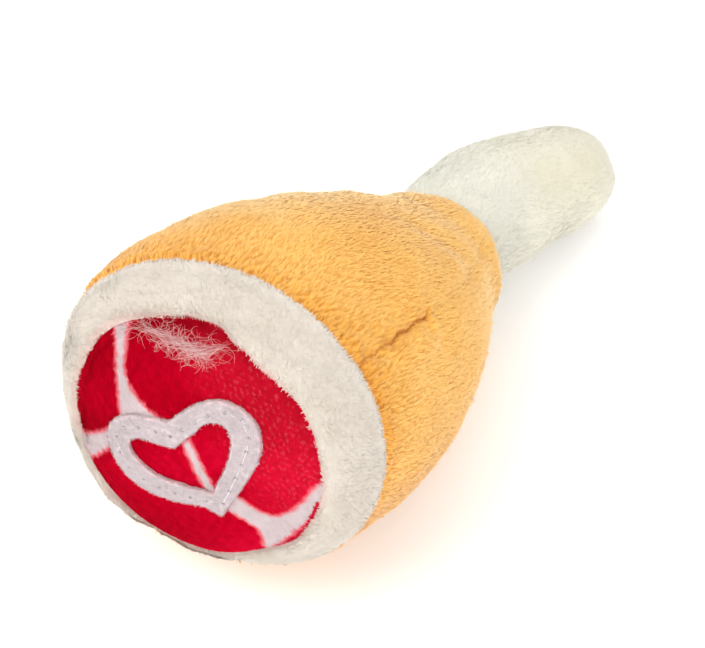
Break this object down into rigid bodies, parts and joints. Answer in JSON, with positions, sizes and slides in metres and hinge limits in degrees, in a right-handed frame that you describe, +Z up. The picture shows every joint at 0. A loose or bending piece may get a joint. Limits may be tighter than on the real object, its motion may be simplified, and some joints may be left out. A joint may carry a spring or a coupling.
{
  "type": "plush ham leg dog toy",
  "caption": "Stuffed plush ham leg with a heart on its cut face, a soft bone that nods and sways at its neck, and a squeaker bulb in the filling.",
  "frame": {"origin": "on the floor, below the middle of the toy's box", "axes": "+X along the toy from the cut face to the tip of the bone, +Z up as it lies on its belly and its bone"},
  "size_m": [0.1966, 0.0936, 0.0923],
  "materials": {
    "golden_plush": "short brushed plush, golden tan",
    "cream_plush": "short plush, cream",
    "red_plush": "very short printed plush, red with pale veins of fat",
    "bone_plush": "short plush, off-white",
    "white_felt": "pressed felt, off-white",
    "golden_thread": "polyester sewing thread, golden",
    "pale_thread": "polyester sewing thread, cream",
    "polyester_fill": "loose polyester fibre, white",
    "bulb_plastic": "blown soft plastic, milky white",
    "reed_plastic": "moulded plastic, pale"
  },
  "bodies": {
    "ham": {"body_panel_top": "golden_plush", "body_panel_bottom": "golden_plush", "fat_ring": "cream_plush", "meat_panel": "red_plush", "felt_heart": "white_felt", "heart_stitching": "pale_thread", "meat_seam_thread": "pale_thread", "face_seam_thread": "golden_thread", "side_thread_near": "golden_thread", "side_thread_far_front": "golden_thread", "closing_stitch": "pale_thread", "side_thread_far_rear": "golden_thread", "body_filling_upper": "polyester_fill", "body_filling_lower": "polyester_fill", "squeaker_bulb": "bulb_plastic"},
    "collar": {"neck_seam_thread": "pale_thread"},
    "bone": {"bone_panel_top": "bone_plush", "bone_panel_bottom": "bone_plush", "bone_seam_thread": "pale_thread", "bone_filling": "polyester_fill"},
    "reed_unit": {"reed_housing": "reed_plastic", "reed_wedge": "reed_plastic", "reed_clip": "reed_plastic"},
    "reed_tongue": {"reed": "reed_plastic"}
  },
  "joints": [
    {"name": "bone_nod", "type": "hinge", "parent": "ham", "child": "collar", "pos_m": [0.02706, -0.00172, 0.02859], "axis": [0, 1, 0], "range_deg": [-16, 16], "stiffness_Nm_per_rad": 0.3},
    {"name": "bone_sway", "type": "hinge", "parent": "collar", "child": "bone", "pos_m": [0.02706, -0.00172, 0.02859], "axis": [0, 0, 1], "range_deg": [-16, 16], "stiffness_Nm_per_rad": 0.3},
    {"name": "squeeze", "type": "slide", "parent": "ham", "child": "reed_unit", "axis": [0, 0, -1], "range_m": [0, 0.008], "stiffness_N_per_m": 600, "deforming": ["squeaker_bulb"]},
    {"name": "reed_flutter", "type": "hinge", "parent": "reed_unit", "child": "reed_tongue", "pos_m": [-0.04403, -0.00015, 0.0616], "axis": [0, 1, 0], "range_deg": [-4.5, 1.5], "stiffness_Nm_per_rad": 0.00002}
  ]
}
